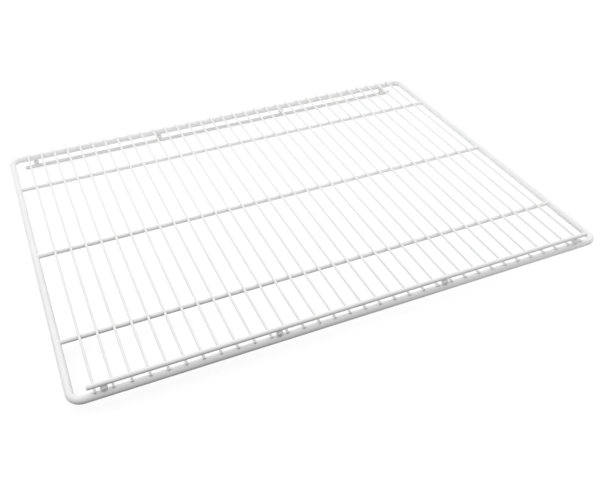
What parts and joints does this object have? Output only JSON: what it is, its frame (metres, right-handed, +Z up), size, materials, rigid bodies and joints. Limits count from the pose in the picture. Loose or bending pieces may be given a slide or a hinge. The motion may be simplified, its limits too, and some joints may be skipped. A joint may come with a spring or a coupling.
{
  "type": "refrigerator wire shelf",
  "caption": "White coated welded wire refrigerator shelf: a rod frame with close deck wires, cross bars below them, a raised front rail and a rear rail hung under the frame.",
  "frame": {"origin": "under the middle of the shelf, level with the underside of the rear rail, its lowest rod", "axes": "+X along the front edge to the right, +Y towards the rear, +Z up"},
  "size_m": [0.63, 0.485, 0.0324],
  "materials": {
    "coating": "white satin powder coat"
  },
  "bodies": {
    "root": {"deck_wire_01": "coating", "deck_wire_02": "coating", "deck_wire_03": "coating", "deck_wire_04": "coating", "deck_wire_05": "coating", "deck_wire_06": "coating", "deck_wire_07": "coating", "deck_wire_08": "coating", "deck_wire_09": "coating", "deck_wire_10": "coating", "deck_wire_11": "coating", "deck_wire_12": "coating", "deck_wire_13": "coating", "deck_wire_14": "coating", "deck_wire_15": "coating", "deck_wire_16": "coating", "deck_wire_17": "coating", "deck_wire_18": "coating", "deck_wire_19": "coating", "deck_wire_20": "coating", "deck_wire_21": "coating", "deck_wire_22": "coating", "deck_wire_23": "coating", "deck_wire_24": "coating", "deck_wire_25": "coating", "deck_wire_26": "coating", "deck_wire_27": "coating", "deck_wire_28": "coating", "deck_wire_29": "coating", "deck_wire_30": "coating", "deck_wire_31": "coating", "deck_wire_32": "coating", "deck_wire_33": "coating", "front_cross_bar": "coating", "front_rail": "coating", "front_stub_1": "coating", "front_stub_2": "coating", "front_stub_3": "coating", "front_stub_4": "coating", "middle_cross_bar": "coating", "perimeter_frame": "coating", "rear_cross_bar": "coating", "rear_rail": "coating", "rear_stub_1": "coating", "rear_stub_2": "coating", "rear_stub_3": "coating", "rear_stub_4": "coating"}
  },
  "joints": []
}
